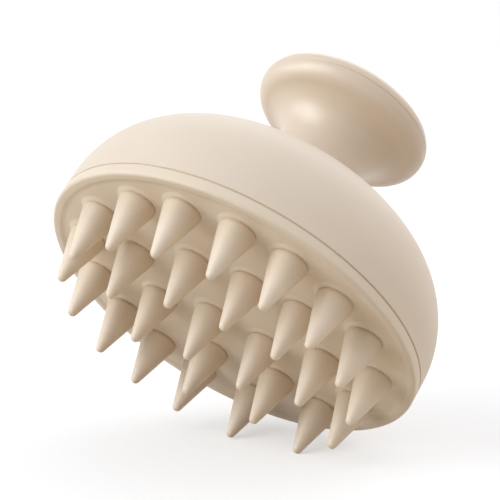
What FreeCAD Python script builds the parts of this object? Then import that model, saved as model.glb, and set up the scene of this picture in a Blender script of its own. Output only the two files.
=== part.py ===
import FreeCAD, Part
import math
import os

import Sketcher

# Scalp massage brush: a domed hand brush with a mushroom knob and cone-shaped silicone bristles.
# Millimetres, +Z up. The origin is on the brush's axis, at the level of the bristle tips.

# Driving dimensions
SIZES = {
    # Bristles: cone with a round tip, a stem through the plate and a flange behind it
    "bristle_length": 11.8,
    "bristle_root_radius": 3.8,
    "bristle_tip_radius": 1.0,
    "bristle_foot_round": 1.1,
    "bristle_stem_radius": 2.3,
    "bristle_hole_clearance": 0.05,
    "bristle_flange_radius": 3.3,
    "bristle_flange_thickness": 1.2,
    "bristle_rim_margin": 2.1,
    # Face plate: floor, rolled rim and the spigot that enters the dome
    "floor_drop": 2.0,
    "plate_thickness": 2.0,
    "rim_drop": 2.3,
    "rim_edge_round": 0.65,
    "rim_land_width": 1.05,
    "rim_bevel_width": 0.8,
    "spigot_clearance": 0.08,
    "spigot_wall": 2.0,
    "spigot_end_gap": 0.8,
    "spigot_lead": 0.5,
    # Seal ring and its groove in the spigot
    "seal_rise": 2.6,
    "seal_groove_depth": 1.1,
    "seal_groove_width": 1.6,
    "seal_clearance": 0.04,
    # Retainer behind the bristles, and its screws
    "retainer_thickness": 2.0,
    "retainer_clearance": 0.2,
    "retainer_hole_clearance": 0.1,
    "retainer_ring_share": 0.71,
    "retainer_boss_radius": 2.4,
    "retainer_shank_radius": 1.2,
    "retainer_head_radius": 2.3,
    "retainer_head_height": 1.5,
    "retainer_pilot_skin": 0.8,
    "retainer_recess_arm": 1.3,
    "retainer_recess_width": 0.6,
    "retainer_recess_depth": 0.8,
    # Dome
    "dome_radius": 40.0,
    "skirt_height": 3.5,
    "skirt_wall": 2.5,
    "bore_depth": 6.5,
    "shoulder_radius": 21.7,
    "crown_radius": 79.0,
    "top_wall": 3.0,
    "seam_gap": 0.35,
    "seam_gap_depth": 0.8,
    "collar_rise": 0.4,
    "fixing_boss_margin": 0.5,
    "fixing_boss_drop": 1.2,
    # Handle: flare, neck and the bowl of the knob
    "flare_radius": 8.2,
    "neck_radius": 9.7,
    "neck_length": 2.25,
    "neck_wall": 3.2,
    "neck_floor": 4.0,
    "foot_spigot_radius": 6.0,
    "foot_spigot_clearance": 0.05,
    "foot_end_gap": 0.3,
    "funnel_radius": 7.8,
    "knob_radius": 18.8,
    "knob_edge_radius": 3.5,
    "knob_top_radius": 3.4,
    "knob_wall": 2.2,
    "bowl_straight_drop": 1.6,
    "bowl_cone_rise": 4.0,
    # Cap of the knob
    "cap_seam_rise": 0.1,
    "cap_gap": 0.2,
    "cap_gap_depth": 0.4,
    "cap_clearance": 0.05,
    "cap_spigot_depth": 1.6,
    "cap_spigot_wall": 1.6,
    "cap_thickness": 2.0,
    # Screw and washer that hold the handle on the dome
    "washer_radius": 8.5,
    "washer_thickness": 1.2,
    "washer_hole_clearance": 0.2,
    "handle_shank_radius": 2.0,
    "handle_head_radius": 3.8,
    "handle_head_height": 2.6,
    "handle_pilot_depth": 7.0,
    "handle_recess_arm": 2.3,
    "handle_recess_width": 1.0,
    "handle_recess_depth": 1.5,
    # Fits shared by both kinds of screw
    "pilot_clearance": 0.03,
    "screw_end_gap": 0.4,
}

# Places and radii worked out from the driving dimensions, as formulas of the sheet
DERIVED = {
    # Levels of the brush head
    "floor_z": "bristle_length",
    "plate_top": "floor_z + plate_thickness",
    "flange_top": "plate_top + bristle_flange_thickness",
    "retainer_top": "flange_top + retainer_thickness",
    "seam_z": "floor_z + floor_drop",
    # Cone of a bristle: its side is tangent to the ball of its tip
    "bristle_foot_z": "floor_z - bristle_foot_round",
    "bristle_seat_radius": "bristle_root_radius - bristle_foot_round",
    "cone_rise": "bristle_foot_z - bristle_tip_radius",
    "cone_reach": "sqrt(bristle_root_radius^2 + cone_rise^2)",
    "cone_side": "sqrt(cone_reach^2 - bristle_tip_radius^2)",
    "tip_out": "(bristle_tip_radius * bristle_root_radius + cone_side * cone_rise) / cone_reach^2",
    "tip_up": "(bristle_tip_radius * cone_rise - cone_side * bristle_root_radius) / cone_reach^2",
    "tip_edge_x": "bristle_tip_radius * tip_out",
    "tip_edge_z": "bristle_tip_radius + bristle_tip_radius * tip_up",
    "bristle_hole_radius": "bristle_stem_radius + bristle_hole_clearance",
    # Outside of the dome: upright skirt, shoulder arc and crown arc, each tangent to the next
    "skirt_top": "seam_z + skirt_height",
    "shoulder_x": "dome_radius - shoulder_radius",
    "crown_z": "skirt_top - sqrt((crown_radius - shoulder_radius)^2 - shoulder_x^2)",
    "apex_z": "crown_z + crown_radius",
    "crown_edge_x": "shoulder_x * crown_radius / (crown_radius - shoulder_radius)",
    "crown_edge_z": "crown_z + (skirt_top - crown_z) * crown_radius / (crown_radius - shoulder_radius)",
    "rebate_x": "dome_radius - seam_gap_depth",
    "rebate_z": "seam_z + seam_gap",
    # Inside of the dome
    "bore_radius": "dome_radius - skirt_wall",
    "inner_crown": "crown_radius - top_wall",
    "bore_top": "seam_z + bore_depth",
    "bore_rise": "bore_top - crown_z",
    "inner_shoulder": "(inner_crown^2 - bore_radius^2 - bore_rise^2) / (2 * (inner_crown - bore_radius))",
    "inner_reach": "inner_crown - inner_shoulder",
    "inner_shoulder_x": "bore_radius - inner_shoulder",
    "inner_edge_x": "inner_shoulder_x * inner_crown / inner_reach",
    "inner_edge_z": "crown_z + bore_rise * inner_crown / inner_reach",
    "boss_face_z": "apex_z - top_wall - fixing_boss_drop",
    "fixing_boss_radius": "washer_radius + fixing_boss_margin",
    "boss_root_z": "crown_z + sqrt(inner_crown^2 - fixing_boss_radius^2)",
    "socket_radius": "foot_spigot_radius + foot_spigot_clearance",
    # Flare between dome and neck: one arc, tangent to the crown, shared by both pieces
    "flare_x": "neck_radius + flare_radius",
    "flare_z": "crown_z + sqrt((crown_radius + flare_radius)^2 - flare_x^2)",
    "flare_foot_x": "flare_x * crown_radius / (crown_radius + flare_radius)",
    "flare_foot_z": "crown_z + (flare_z - crown_z) * crown_radius / (crown_radius + flare_radius)",
    "joint_z": "apex_z + collar_rise",
    "joint_x": "flare_x - sqrt(flare_radius^2 - (flare_z - joint_z)^2)",
    # Rim and spigot of the face plate
    "lip_z": "seam_z - rim_drop",
    "rim_side_z": "lip_z + rim_edge_round",
    "land_outer_x": "dome_radius - rim_edge_round",
    "land_inner_x": "land_outer_x - rim_land_width",
    "floor_radius": "land_inner_x - rim_bevel_width",
    "outer_ring_radius": "floor_radius - bristle_rim_margin - bristle_root_radius",
    "spigot_radius": "bore_radius - spigot_clearance",
    "spigot_inner": "spigot_radius - spigot_wall",
    "spigot_top": "bore_top - spigot_end_gap",
    "lead_x": "spigot_radius - spigot_lead",
    "lead_z": "spigot_top - spigot_lead",
    "groove_x": "spigot_radius - seal_groove_depth",
    "seal_z": "seam_z + seal_rise",
    "groove_low": "seal_z - seal_groove_width / 2",
    "groove_high": "seal_z + seal_groove_width / 2",
    "seal_section": "(bore_radius - groove_x) / 2 - seal_clearance",
    "seal_ring_radius": "(bore_radius + groove_x) / 2",
    # Retainer and its screws
    "retainer_radius": "spigot_inner - retainer_clearance",
    "retainer_screw_ring": "outer_ring_radius * retainer_ring_share",
    "retainer_hole_radius": "retainer_shank_radius + retainer_hole_clearance",
    "retainer_pilot_radius": "retainer_shank_radius + pilot_clearance",
    "retainer_pilot_depth": "flange_top - floor_z - retainer_pilot_skin",
    "retainer_shank_z": "flange_top - retainer_pilot_depth + screw_end_gap",
    "retainer_head_z": "retainer_top + retainer_head_height",
    # Neck, and the knob's under side as two tangent arcs
    "waist_z": "flare_z + neck_length",
    "neck_inner": "neck_radius - neck_wall",
    "neck_floor_z": "joint_z + neck_floor",
    "funnel_x": "neck_radius + funnel_radius",
    "knob_edge_x": "knob_radius - knob_edge_radius",
    "knob_reach": "funnel_radius + knob_edge_radius",
    "knob_z": "waist_z + sqrt(knob_reach^2 - (knob_edge_x - funnel_x)^2)",
    "funnel_top_x": "funnel_x + (knob_edge_x - funnel_x) * funnel_radius / knob_reach",
    "funnel_top_z": "waist_z + (knob_z - waist_z) * funnel_radius / knob_reach",
    "bowl_radius": "knob_radius - knob_wall",
    "bowl_low_z": "knob_z - bowl_straight_drop",
    "bowl_cone_z": "bowl_low_z - bowl_cone_rise",
    # Top of the knob, parted at the cap's seam
    "knob_top_x": "knob_radius - knob_top_radius",
    "knob_top_z": "knob_z + knob_top_radius",
    "cap_seam_z": "knob_z + cap_seam_rise",
    "cap_seam_x": "knob_top_x + sqrt(knob_top_radius^2 - cap_seam_rise^2)",
    "cap_edge_z": "cap_seam_z + cap_gap",
    "cap_edge_x": "knob_top_x + sqrt(knob_top_radius^2 - (cap_seam_rise + cap_gap)^2)",
    "cap_land_x": "cap_seam_x - cap_gap_depth",
    "cap_spigot_x": "bowl_radius - cap_clearance",
    "cap_spigot_inner": "cap_spigot_x - cap_spigot_wall",
    "cap_spigot_z": "cap_seam_z - cap_spigot_depth",
    "cap_under_z": "knob_top_z - cap_thickness",
    # Foot of the handle and the screw in it
    "foot_end_z": "boss_face_z + foot_end_gap",
    "handle_pilot_radius": "handle_shank_radius + pilot_clearance",
    "handle_pilot_z": "foot_end_z + handle_pilot_depth",
    "handle_shank_z": "handle_pilot_z - screw_end_gap",
    "washer_hole_radius": "handle_shank_radius + washer_hole_clearance",
    "washer_z": "boss_face_z - washer_thickness",
    "handle_head_z": "washer_z - handle_head_height",
}

# Bristle places: degrees from +X towards +Y, and the distance from the axis as a share of the outer ring's radius
OUTER_ANGLES = [172, 194, 218, 238, 259, 279, 300, 321, 346, 12, 34, 65, 88, 107, 126, 148]
MIDDLE_SHARES = [
    (182, 0.67),
    (226, 0.475),
    (273, 0.475),
    (307, 0.62),
    (352, 0.66),
    (46, 0.71),
    (87, 0.66),
    (139, 0.55),
]
INNER_SHARES = [(113, 0.19), (27, 0.34)]

# Retainer screws stand in the gaps between bristles, in degrees from +X towards +Y
SCREW_ANGLES = [20, 114, 206, 284]

# Turns of an outline's arc, seen with X to the right and Z up
LEFT = 1
RIGHT = -1

doc = FreeCAD.newDocument("scalp_massage_brush")
sheet = doc.addObject("Spreadsheet::Sheet", "Sizes")


def fill_sheet():
    """Write every size beside its name: driving sizes as plain numbers, the others as formulas."""
    contents = {name: str(size) for name, size in SIZES.items()}
    contents.update({name: "=" + formula for name, formula in DERIVED.items()})
    for row, (name, content) in enumerate(contents.items(), start=1):
        sheet.set(f"A{row}", name)
        sheet.set(f"B{row}", content)
        sheet.setAlias(f"B{row}", name)
    doc.recompute()


def size(name):
    """Present value of a named size, where None stands for zero."""
    return 0.0 if name is None else float(sheet.get(name))


def cell(name):
    """Expression that reads a named size."""
    return f"Sizes.{name}"


def polar(ring, angle, share=1):
    """Expressions for the place at an angle and at a share of a ring's radius."""
    reach = f"{cell(ring)} * {share}"
    return f"{reach} * cos({angle} deg)", f"{reach} * sin({angle} deg)"


def origin_plane(body, role):
    """One of a body's own origin planes."""
    for feature in body.Origin.OriginFeatures:
        if feature.Role == role:
            return feature
    raise LookupError(role)


def add_sketch(body, name, role, level=None):
    """Empty sketch on a body's origin plane, raised to a named level."""
    sketch = body.newObject("Sketcher::SketchObject", name)
    sketch.AttachmentSupport = [(origin_plane(body, role), "")]
    sketch.MapMode = "FlatFace"
    if level is not None:
        sketch.setExpression("AttachmentOffset.Base.z", cell(level))
    return sketch


def arc_between(start, end, radius, turn):
    """Arc of under half a circle from start to end, drawn the way a sketch keeps it, anticlockwise."""
    middle = (start + end) / 2
    chord = end - start
    across = FreeCAD.Vector(-chord.y, chord.x, 0).normalize()
    rise = math.sqrt(max(radius * radius - chord.Length * chord.Length / 4, 0))
    centre = middle + across * (turn * rise)
    first, last = (start, end) if turn == LEFT else (end, start)
    from_angle = math.atan2(first.y - centre.y, first.x - centre.x)
    to_angle = math.atan2(last.y - centre.y, last.x - centre.x)
    circle = Part.Circle(centre, FreeCAD.Vector(0, 0, 1), radius)
    return Part.ArcOfCircle(circle, from_angle, to_angle)


def place_constraints(geometry, point, names):
    """Constraints that hold a point at named distances from the sketch's origin, and their expressions."""
    held = []
    for kind, axis, name in (("DistanceX", -2, names[0]), ("DistanceY", -1, names[1])):
        if name is None:
            held.append((Sketcher.Constraint("PointOnObject", geometry, point, axis), None))
        else:
            held.append((Sketcher.Constraint(kind, -1, 1, geometry, point, size(name)), cell(name)))
    return held


def add_held(sketch, held):
    """Add constraints to a sketch and bind those that have an expression."""
    sketch.addConstraint([constraint for constraint, text in held])
    for index, (constraint, text) in enumerate(held):
        if text is not None:
            sketch.setExpression(f"Constraints[{index}]", text)


def draw_outline(sketch, corners):
    """Closed outline. A corner is two size names, and a radius and a turn where an arc leads to the next one."""
    points = [FreeCAD.Vector(size(corner[0]), size(corner[1]), 0) for corner in corners]
    shapes = []
    ends = []
    held = []
    for index, corner in enumerate(corners):
        start = points[index]
        end = points[(index + 1) % len(points)]
        if len(corner) == 2:
            shapes.append(Part.LineSegment(start, end))
            ends.append((1, 2))
        else:
            shapes.append(arc_between(start, end, size(corner[2]), corner[3]))
            ends.append((1, 2) if corner[3] == LEFT else (2, 1))
            held.append((Sketcher.Constraint("Radius", index, size(corner[2])), cell(corner[2])))
    for index, corner in enumerate(corners):
        following = (index + 1) % len(corners)
        joined = Sketcher.Constraint("Coincident", index, ends[index][1], following, ends[following][0])
        held.append((joined, None))
        held.extend(place_constraints(index, ends[index][0], corner))
    sketch.addGeometry(shapes, False)
    add_held(sketch, held)


def draw_circles(sketch, places, radius):
    """Equal circles, each centred on a pair of expressions."""
    held = []
    for index, place in enumerate(places):
        middle = [sheet.evalExpression(text.replace("Sizes.", "")) for text in place]
        circle = Part.Circle(FreeCAD.Vector(*middle, 0), FreeCAD.Vector(0, 0, 1), size(radius))
        sketch.addGeometry(circle, False)
        held.append((Sketcher.Constraint("DistanceX", -1, 1, index, 3, middle[0]), place[0]))
        held.append((Sketcher.Constraint("DistanceY", -1, 1, index, 3, middle[1]), place[1]))
        held.append((Sketcher.Constraint("Radius", index, size(radius)), cell(radius)))
    add_held(sketch, held)


def revolved(name, corners):
    """Body turned about the Z axis from an outline of its right-hand half."""
    body = doc.addObject("PartDesign::Body", name)
    body.Label = name
    sketch = add_sketch(body, name + "_outline", "XZ_Plane")
    draw_outline(sketch, corners)
    turn = body.newObject("PartDesign::Revolution", name + "_turn")
    turn.Profile = sketch
    turn.ReferenceAxis = (sketch, ["V_Axis"])
    turn.Angle = 360
    doc.recompute()
    return body


def pocket(body, sketch, depth=None, upward=False):
    """Cut a sketch into a body, right through it when no depth is named, and see that it removed material."""
    before = body.Shape.Volume
    cut = body.newObject("PartDesign::Pocket", sketch.Name + "_cut")
    cut.Profile = sketch
    cut.Reversed = upward
    if depth is None:
        cut.Type = "ThroughAll"
    else:
        cut.Type = "Length"
        cut.setExpression("Length", cell(depth))
    doc.recompute()
    if body.Shape.Volume >= before:
        raise RuntimeError(f"{sketch.Name} cuts nothing")


def pad(body, sketch, height):
    """Raise a sketch into a body by a named height."""
    raised = body.newObject("PartDesign::Pad", sketch.Name + "_pad")
    raised.Profile = sketch
    raised.setExpression("Length", cell(height))
    doc.recompute()


def place_body(body, place):
    """Move a body to a pair of expressions."""
    body.setExpression("Placement.Base.x", place[0])
    body.setExpression("Placement.Base.y", place[1])


def bristle_places():
    """Name, angle and share of every bristle."""
    rings = {
        "outer": [(angle, 1) for angle in OUTER_ANGLES],
        "middle": MIDDLE_SHARES,
        "inner": INNER_SHARES,
    }
    for ring, places in rings.items():
        for number, (angle, share) in enumerate(places, start=1):
            yield f"bristle_{ring}_{number:02d}", polar("outer_ring_radius", angle, share)


def screw_places():
    """Places of the retainer's screws."""
    return [polar("retainer_screw_ring", angle) for angle in SCREW_ANGLES]


def build_bristles():
    """Every bristle: round tip, cone, rounded foot on the floor, stem and flange."""
    outline = [
        (None, None, "bristle_tip_radius", LEFT),
        ("tip_edge_x", "tip_edge_z"),
        ("bristle_root_radius", "bristle_foot_z", "bristle_foot_round", LEFT),
        ("bristle_seat_radius", "floor_z"),
        ("bristle_stem_radius", "floor_z"),
        ("bristle_stem_radius", "plate_top"),
        ("bristle_flange_radius", "plate_top"),
        ("bristle_flange_radius", "flange_top"),
        (None, "flange_top"),
    ]
    bristles = []
    for name, place in bristle_places():
        bristle = revolved(name, outline)
        place_body(bristle, place)
        bristles.append(bristle)
    return bristles


def build_face_plate():
    """Floor with the bristle holes, rolled rim, grooved spigot and the bosses for the retainer."""
    body = revolved("face_plate", [
        (None, "floor_z"),
        ("floor_radius", "floor_z"),
        ("land_inner_x", "lip_z"),
        ("land_outer_x", "lip_z", "rim_edge_round", LEFT),
        ("dome_radius", "rim_side_z"),
        ("dome_radius", "seam_z"),
        ("spigot_radius", "seam_z"),
        ("spigot_radius", "groove_low"),
        ("groove_x", "groove_low"),
        ("groove_x", "groove_high"),
        ("spigot_radius", "groove_high"),
        ("spigot_radius", "lead_z"),
        ("lead_x", "spigot_top"),
        ("spigot_inner", "spigot_top"),
        ("spigot_inner", "plate_top"),
        (None, "plate_top"),
    ])
    holes = add_sketch(body, "bristle_holes", "XY_Plane")
    draw_circles(holes, [place for name, place in bristle_places()], "bristle_hole_radius")
    pocket(body, holes, upward=True)
    bosses = add_sketch(body, "retainer_bosses", "XY_Plane", "plate_top")
    draw_circles(bosses, screw_places(), "retainer_boss_radius")
    pad(body, bosses, "bristle_flange_thickness")
    pilots = add_sketch(body, "retainer_pilots", "XY_Plane", "flange_top")
    draw_circles(pilots, screw_places(), "retainer_pilot_radius")
    pocket(body, pilots, "retainer_pilot_depth")
    return body


def build_retainer():
    """Disc that lies on the bristles' flanges and on the bosses."""
    body = revolved("bristle_retainer", [
        (None, "flange_top"),
        ("retainer_radius", "flange_top"),
        ("retainer_radius", "retainer_top"),
        (None, "retainer_top"),
    ])
    holes = add_sketch(body, "retainer_holes", "XY_Plane")
    draw_circles(holes, screw_places(), "retainer_hole_radius")
    pocket(body, holes, upward=True)
    return body


def cross_outline(arm, width):
    """Corners of a cross recess, from the centre to an arm's end and half of the arm's width."""
    return [
        (-arm, -width), (-width, -width), (-width, -arm), (width, -arm),
        (width, -width), (arm, -width), (arm, width), (width, width),
        (width, arm), (-width, arm), (-width, width), (-arm, width),
    ]


def add_recess(body, level, kind, upward):
    """Cross recess in a screw's head, open at a named level."""
    sketch = add_sketch(body, body.Name + "_recess", "XY_Plane", level)
    arm = size(kind + "_recess_arm")
    width = size(kind + "_recess_width") / 2
    corners = cross_outline(arm, width)
    names = cross_outline(1, 0.5)
    held = []
    for index, corner in enumerate(corners):
        start = FreeCAD.Vector(*corner, 0)
        end = FreeCAD.Vector(*corners[(index + 1) % len(corners)], 0)
        sketch.addGeometry(Part.LineSegment(start, end), False)
    for index, corner in enumerate(corners):
        following = (index + 1) % len(corners)
        held.append((Sketcher.Constraint("Coincident", index, 2, following, 1), None))
        for distance, value, share in zip(("DistanceX", "DistanceY"), corner, names[index]):
            part = "arm" if abs(share) == 1 else "width"
            text = f"{share} * {cell(kind + '_recess_' + part)}"
            held.append((Sketcher.Constraint(distance, -1, 1, index, 1, value), text))
    add_held(sketch, held)
    pocket(body, sketch, kind + "_recess_depth", upward)


def build_retainer_screws():
    """Four small screws, kept together as one group of separate solids."""
    screws = []
    for number, place in enumerate(screw_places(), start=1):
        screw = revolved(f"retainer_screw_{number}", [
            (None, "retainer_shank_z"),
            ("retainer_shank_radius", "retainer_shank_z"),
            ("retainer_shank_radius", "retainer_top"),
            ("retainer_head_radius", "retainer_top"),
            ("retainer_head_radius", "retainer_head_z"),
            (None, "retainer_head_z"),
        ])
        add_recess(screw, "retainer_head_z", "retainer", upward=False)
        place_body(screw, place)
        screws.append(screw)
    group = doc.addObject("Part::Compound", "retainer_screws")
    group.Label = "retainer_screws"
    group.Links = screws
    return group


def build_seal_ring():
    """Round rubber ring in the spigot's groove."""
    ring = doc.addObject("Part::Torus", "seal_ring")
    ring.Label = "seal_ring"
    ring.setExpression("Radius1", cell("seal_ring_radius"))
    ring.setExpression("Radius2", cell("seal_section"))
    ring.setExpression("Placement.Base.z", cell("seal_z"))
    return ring


def build_dome():
    """Hollow dome with the bore for the brush head and the seat of the handle."""
    return revolved("dome_shell", [
        ("bore_radius", "seam_z"),
        ("rebate_x", "seam_z"),
        ("rebate_x", "rebate_z"),
        ("dome_radius", "rebate_z"),
        ("dome_radius", "skirt_top", "shoulder_radius", LEFT),
        ("crown_edge_x", "crown_edge_z", "crown_radius", LEFT),
        ("flare_foot_x", "flare_foot_z", "flare_radius", RIGHT),
        ("joint_x", "joint_z"),
        ("socket_radius", "joint_z"),
        ("socket_radius", "boss_face_z"),
        ("fixing_boss_radius", "boss_face_z"),
        ("fixing_boss_radius", "boss_root_z", "inner_crown", RIGHT),
        ("inner_edge_x", "inner_edge_z", "inner_shoulder", RIGHT),
        ("bore_radius", "bore_top"),
    ])


def build_handle():
    """Neck and knob bowl in one moulding, with a foot that enters the dome's seat."""
    return revolved("handle_neck", [
        ("handle_pilot_radius", "foot_end_z"),
        ("foot_spigot_radius", "foot_end_z"),
        ("foot_spigot_radius", "joint_z"),
        ("joint_x", "joint_z", "flare_radius", RIGHT),
        ("neck_radius", "flare_z"),
        ("neck_radius", "waist_z", "funnel_radius", RIGHT),
        ("funnel_top_x", "funnel_top_z", "knob_edge_radius", LEFT),
        ("knob_radius", "knob_z", "knob_top_radius", LEFT),
        ("cap_seam_x", "cap_seam_z"),
        ("bowl_radius", "cap_seam_z"),
        ("bowl_radius", "bowl_low_z"),
        ("neck_inner", "bowl_cone_z"),
        ("neck_inner", "neck_floor_z"),
        (None, "neck_floor_z"),
        (None, "handle_pilot_z"),
        ("handle_pilot_radius", "handle_pilot_z"),
    ])


def build_cap():
    """Lid of the knob: flat top, rounded edge and a spigot inside the bowl."""
    return revolved("knob_cap", [
        (None, "cap_under_z"),
        ("cap_spigot_inner", "cap_under_z"),
        ("cap_spigot_inner", "cap_spigot_z"),
        ("cap_spigot_x", "cap_spigot_z"),
        ("cap_spigot_x", "cap_seam_z"),
        ("cap_land_x", "cap_seam_z"),
        ("cap_land_x", "cap_edge_z"),
        ("cap_edge_x", "cap_edge_z", "knob_top_radius", LEFT),
        ("knob_top_x", "knob_top_z"),
        (None, "knob_top_z"),
    ])


def build_handle_washer():
    """Wide washer under the handle's screw."""
    return revolved("handle_washer", [
        ("washer_hole_radius", "washer_z"),
        ("washer_radius", "washer_z"),
        ("washer_radius", "boss_face_z"),
        ("washer_hole_radius", "boss_face_z"),
    ])


def build_handle_screw():
    """Screw that pulls the handle onto the dome from inside, head down."""
    screw = revolved("handle_screw", [
        (None, "handle_head_z"),
        ("handle_head_radius", "handle_head_z"),
        ("handle_head_radius", "washer_z"),
        ("handle_shank_radius", "washer_z"),
        ("handle_shank_radius", "handle_shank_z"),
        (None, "handle_shank_z"),
    ])
    add_recess(screw, "handle_head_z", "handle", upward=True)
    return screw


def check_document(parts):
    """Stop if any object failed or any sub-part has no valid solid."""
    for item in doc.Objects:
        if "Invalid" in item.State or "Error" in item.State:
            raise RuntimeError(f"{item.Name} failed: {item.State}")
    for part in parts:
        if part.Shape.isNull() or not part.Shape.isValid() or not part.Shape.Solids:
            raise RuntimeError(f"{part.Label} has no valid shape")


def main():
    """Build every sub-part and write its file."""
    fill_sheet()
    parts = build_bristles()
    parts.append(build_face_plate())
    parts.append(build_retainer())
    parts.append(build_retainer_screws())
    parts.append(build_seal_ring())
    parts.append(build_dome())
    parts.append(build_handle())
    parts.append(build_cap())
    parts.append(build_handle_washer())
    parts.append(build_handle_screw())
    doc.recompute()
    check_document(parts)
    os.makedirs("parts", exist_ok=True)
    for part in parts:
        part.Shape.exportStep(f"parts/{part.Label}.step")
        print(part.Label, len(part.Shape.Solids), round(part.Shape.Volume, 2))


main()
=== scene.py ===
import cmath
import math
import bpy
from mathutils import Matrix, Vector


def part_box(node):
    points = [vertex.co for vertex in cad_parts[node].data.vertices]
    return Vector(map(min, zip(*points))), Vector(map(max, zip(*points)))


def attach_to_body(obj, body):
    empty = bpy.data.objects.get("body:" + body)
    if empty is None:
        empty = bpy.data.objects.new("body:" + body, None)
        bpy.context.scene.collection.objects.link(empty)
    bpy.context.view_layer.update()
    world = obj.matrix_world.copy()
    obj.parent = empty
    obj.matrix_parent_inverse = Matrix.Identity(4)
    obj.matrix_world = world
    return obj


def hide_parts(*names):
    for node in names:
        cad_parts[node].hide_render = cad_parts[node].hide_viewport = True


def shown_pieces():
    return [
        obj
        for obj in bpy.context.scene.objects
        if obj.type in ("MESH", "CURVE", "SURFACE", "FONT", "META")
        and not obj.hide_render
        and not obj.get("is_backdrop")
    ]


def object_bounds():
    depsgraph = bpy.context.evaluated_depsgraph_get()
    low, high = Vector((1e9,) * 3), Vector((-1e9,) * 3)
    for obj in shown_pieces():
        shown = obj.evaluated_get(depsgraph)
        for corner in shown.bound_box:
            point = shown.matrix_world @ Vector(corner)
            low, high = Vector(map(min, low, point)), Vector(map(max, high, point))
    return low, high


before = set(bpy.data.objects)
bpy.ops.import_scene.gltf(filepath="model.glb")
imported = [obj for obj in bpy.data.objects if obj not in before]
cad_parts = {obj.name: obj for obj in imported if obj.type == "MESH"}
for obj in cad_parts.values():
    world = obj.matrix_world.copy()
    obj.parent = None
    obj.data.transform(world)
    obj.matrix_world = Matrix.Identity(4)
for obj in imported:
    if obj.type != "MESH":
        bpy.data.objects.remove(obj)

from types import SimpleNamespace

import bpy
from bpy.props import FloatProperty, FloatVectorProperty, IntProperty, PointerProperty
from bpy.types import Operator, Panel, PropertyGroup
from mathutils import Matrix, Vector

# Scalp massage brush with a dome, a mushroom knob and silicone bristles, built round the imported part.
# Metres, +Z up. The origin is on the brush's axis, at the level of the bristle tips.

bl_info = {
    "name": "Scalp massage brush",
    "version": (1, 0, 0),
    "blender": (4, 5, 0),
    "location": "View3D > Sidebar > Brush",
    "description": "Builds a domed scalp massage brush with a mushroom knob, round its packed part",
    "category": "Object",
}

CAD_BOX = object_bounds()
MM = 0.001

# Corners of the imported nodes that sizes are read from
DOME_LOW, DOME_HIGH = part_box("dome_shell")
PLATE_LOW, PLATE_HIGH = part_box("face_plate")
NECK_LOW, NECK_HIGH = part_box("handle_neck")
CAP_LOW, CAP_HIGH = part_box("knob_cap")
SEAL_LOW, SEAL_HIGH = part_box("seal_ring")
RETAINER_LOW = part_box("bristle_retainer")[0]
WASHER_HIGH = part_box("handle_washer")[1]
BRISTLE_LOW, BRISTLE_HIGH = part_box("bristle_outer_01")

# How the names of the bristles in each ring begin
BRISTLE_RINGS = ("bristle_outer", "bristle_middle", "bristle_inner")

# Bends of an arc in a section, seen with the axis on the left and +Z up
LEFT = 1
RIGHT = -1

# Lengths of the steps along an arc of a section, and numbers of steps round a corner and down a collar
ARC_STEP = 0.6 * MM
KNOB_STEP = 0.4 * MM
FINE_STEP = 0.2 * MM
BRISTLE_STEP = 0.12 * MM
CORNER_STEPS = 5
COLLAR_STEPS = 12

# Faces round a turned piece
BODY_SIDES = 256
KNOB_SIDES = 192
COLLAR_SIDES = 64
ROD_SIDES = 48

# Points round the seal's section, and its radius as a share of that of the fine ridges from its mould
SEAL_STEPS = 32
SEAL_RING_SHARE = 0.975

# Points nearer than this are one point, and edges that bend more than this stay sharp
MERGE_DISTANCE = 0.002 * MM
SHARP_ANGLE = math.radians(35)

# How far a hole runs past the plate, and how far a boss is sunk in it
OVERRUN = 1 * MM
BOSS_ROOT = 0.5 * MM

# Places of the retainer's screws round the axis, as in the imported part
SCREW_ANGLES = (20, 114, 206, 284)

# Clouds in the plastics, their share of the tone against the grain, and how far tone and sheen drift
CLOUD_SIZE = 14 * MM
CLOUD_SHARE = 0.7
TONE_DRIFT = 0.022
SHEEN_DRIFT = 0.05

# Ends of the noise's middle, which is stretched over a range
NOISE_LOW = 0.3
NOISE_HIGH = 0.7

# Depth of the relief on the dome and on the smoother pieces
DOME_RELIEF = 0.035 * MM
FINE_RELIEF = 0.02 * MM

# Height over which the painted shade in the shadow line fades in
SEAM_SHADE_FADE = 0.08 * MM

# How light enters the silicone
SILICONE_BODY = {
    "Subsurface Weight": 0.1,
    "Subsurface Radius": (1.0, 0.62, 0.36),
    "Subsurface Scale": 1.2 * MM,
    "IOR": 1.43,
}

# Width of the camera's sensor in millimetres, and where its view begins, in metres
SENSOR_WIDTH = 36
VIEW_START = 0.01

# Soft lamps and the floor, in metres
LAMP_SIZE = 1.5
LAMP_DISTANCE = 2.0
FLOOR_REACH = 3

# Where light comes from in the picture: right, up and towards the camera
KEY_LAMP = (-0.74, 0.44, 0.49)
SIDE_LAMP = (-0.937, 0.16, 0.085)
EDGE_LAMP = (0.3, 0.62, -0.72)
RIGHT_OF_ROOM = (0.81, 0.53, 0.06)
LEFT_OF_ROOM = (-0.9, 0.4, 0.1)
BACK_OF_ROOM = (0, 0.75, -0.65)


def settings_of(kind, unit_size=1, **limits):
    """Maker of settings of one kind, each from a description and a default in its own unit."""
    def setting(description, default):
        return kind(description=description, default=default * unit_size, **limits)
    return setting


# Kinds of settings: lengths in millimetres, linear colours, shares of 1, strengths of light and degrees
length = settings_of(FloatProperty, MM, min=0, precision=5, unit="LENGTH")
colour = settings_of(FloatVectorProperty, size=3, min=0, max=1, subtype="COLOR")
share = settings_of(FloatProperty, min=0, max=1, subtype="FACTOR")
brightness = settings_of(FloatProperty, min=0)
bearing = settings_of(FloatProperty, math.radians(1), unit="ROTATION")


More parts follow.
